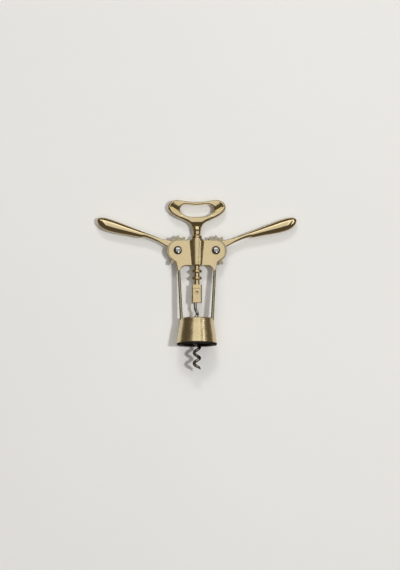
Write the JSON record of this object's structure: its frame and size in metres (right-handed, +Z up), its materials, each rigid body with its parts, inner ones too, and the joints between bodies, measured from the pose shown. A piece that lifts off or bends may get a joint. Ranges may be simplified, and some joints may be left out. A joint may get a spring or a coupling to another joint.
{
  "type": "lever corkscrew",
  "caption": "Lever corkscrew: a flared bell on two legs, a slotted boss with geared levers, a ring rack with a wire worm and a loop handle that lifts crown caps.",
  "frame": {"origin": "centre of the bounding box in plan, on the surface that the tool lies on", "axes": "+X towards the right lever, +Y from the bell towards the handle, +Z up out of the tool's front; the worm's axis slopes down towards the handle"},
  "size_m": [0.1986, 0.1702, 0.0406],
  "materials": {
    "satin_gold": "satin champagne gold plate",
    "brushed_gold": "turned and lightly brushed gold plate",
    "polished_gold": "polished champagne gold plate",
    "bright_gold": "bright turned gold plate",
    "bright_chrome": "bright chrome plate",
    "worm_steel": "dark nickel-plated steel wire",
    "plain_steel": "plain turned steel",
    "black_plastic": "black moulded plastic"
  },
  "bodies": {
    "frame": {"yoke": "satin_gold", "bell": "brushed_gold", "bell_liner": "black_plastic", "right_pivot_pin": "bright_chrome", "left_pivot_pin": "bright_chrome", "right_pivot_cap": "bright_chrome", "left_pivot_cap": "bright_chrome"},
    "rack": {"rack_sleeve": "bright_gold"},
    "screw": {"handle": "polished_gold", "spindle": "plain_steel", "worm_chuck": "satin_gold", "chuck_pin": "bright_gold", "worm": "worm_steel"},
    "right_arm": {"right_lever": "polished_gold"},
    "left_arm": {"left_lever": "polished_gold"}
  },
  "joints": [
    {"name": "right_lever_swing", "type": "hinge", "parent": "frame", "child": "right_arm", "pos_m": [0.019, 0.03382, 0.01073], "axis": [0, 0.1049, 0.9945], "range_deg": [-106, 36]},
    {"name": "left_lever_swing", "type": "hinge", "parent": "frame", "child": "left_arm", "pos_m": [-0.019, 0.03382, 0.01073], "axis": [0, -0.1049, -0.9945], "range_deg": [-106.5, 36.5]},
    {"name": "rack_slide", "type": "slide", "parent": "frame", "child": "rack", "axis": [0, 0.9945, -0.1049], "range_m": [-0.00978, 0.02859]},
    {"name": "handle_turn", "type": "hinge", "parent": "rack", "child": "screw", "pos_m": [0, 0.03899, 0.01019], "axis": [0, 0.9945, -0.1049], "continuous": true}
  ],
  "couplings": [
    {"joint": "left_lever_swing", "follows": "right_lever_swing", "ratio": 1},
    {"joint": "rack_slide", "follows": "right_lever_swing", "m_per_rad": -0.0154}
  ]
}
